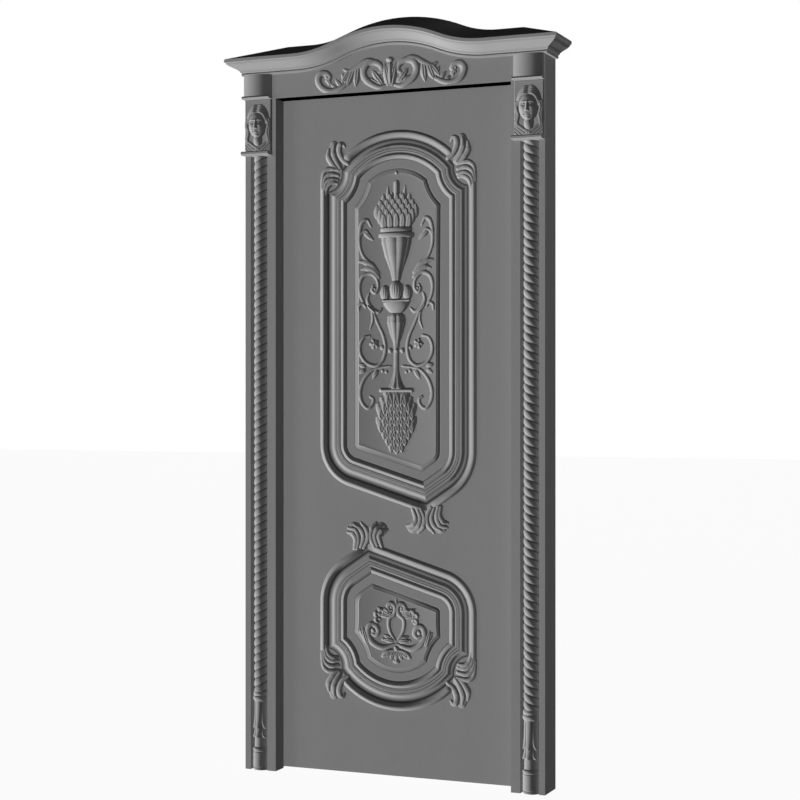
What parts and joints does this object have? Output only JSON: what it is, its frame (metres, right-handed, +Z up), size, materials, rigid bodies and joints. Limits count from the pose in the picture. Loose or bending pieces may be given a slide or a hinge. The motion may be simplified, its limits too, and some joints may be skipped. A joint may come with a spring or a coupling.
{
  "type": "carved panel door with frame",
  "caption": "Carved panel door leaf hung in a frame with rope columns, mascaron heads, a carved frieze and a serpentine cornice; the leaf swings open away from its carved face.",
  "frame": {"origin": "on the floor, under the middle of the bounding box", "axes": "+Z up, +Y from the carved face towards the wall, +X to the right seen from the carved face"},
  "size_m": [1.088, 0.1624, 2.3419],
  "materials": {
    "painted_wood": "plain grey paint over carved wood, satin",
    "hinge_iron": "dark oiled steel"
  },
  "bodies": {
    "frame": {"left_post": "painted_wood", "right_post": "painted_wood", "lintel": "painted_wood", "left_base": "painted_wood", "right_base": "painted_wood", "left_rope": "painted_wood", "right_rope": "painted_wood", "left_necking": "painted_wood", "right_necking": "painted_wood", "left_head": "painted_wood", "right_head": "painted_wood", "left_cap": "painted_wood", "right_cap": "painted_wood", "frieze_crest": "painted_wood", "cornice_front": "painted_wood", "cornice_left_return": "painted_wood", "cornice_right_return": "painted_wood", "cornice_cap": "painted_wood", "top_hinge_frame_plate": "hinge_iron", "top_hinge_pin": "hinge_iron", "middle_hinge_frame_plate": "hinge_iron", "middle_hinge_pin": "hinge_iron", "bottom_hinge_frame_plate": "hinge_iron", "bottom_hinge_pin": "hinge_iron", "frame_plate_screws": "hinge_iron"},
    "leaf": {"leaf": "painted_wood", "upper_panel": "painted_wood", "lower_panel": "painted_wood", "upper_carving": "painted_wood", "lower_carving": "painted_wood", "upper_arch": "painted_wood", "upper_left_notch": "painted_wood", "upper_right_notch": "painted_wood", "upper_left_run": "painted_wood", "upper_right_run": "painted_wood", "lower_arch": "painted_wood", "lower_left_notch": "painted_wood", "lower_right_notch": "painted_wood", "lower_left_run": "painted_wood", "lower_right_run": "painted_wood", "upper_left_curls": "painted_wood", "upper_right_curls": "painted_wood", "upper_point_curls": "painted_wood", "lower_left_curls": "painted_wood", "lower_right_curls": "painted_wood", "lower_point_curls": "painted_wood", "top_hinge_leaf_plate": "hinge_iron", "middle_hinge_leaf_plate": "hinge_iron", "bottom_hinge_leaf_plate": "hinge_iron", "leaf_plate_screws": "hinge_iron"}
  },
  "joints": [
    {"name": "leaf_swing", "type": "hinge", "parent": "frame", "child": "leaf", "pos_m": [-0.3965, 0.07525, 1.05], "axis": [0, 0, 1], "range_deg": [0, 110]}
  ]
}
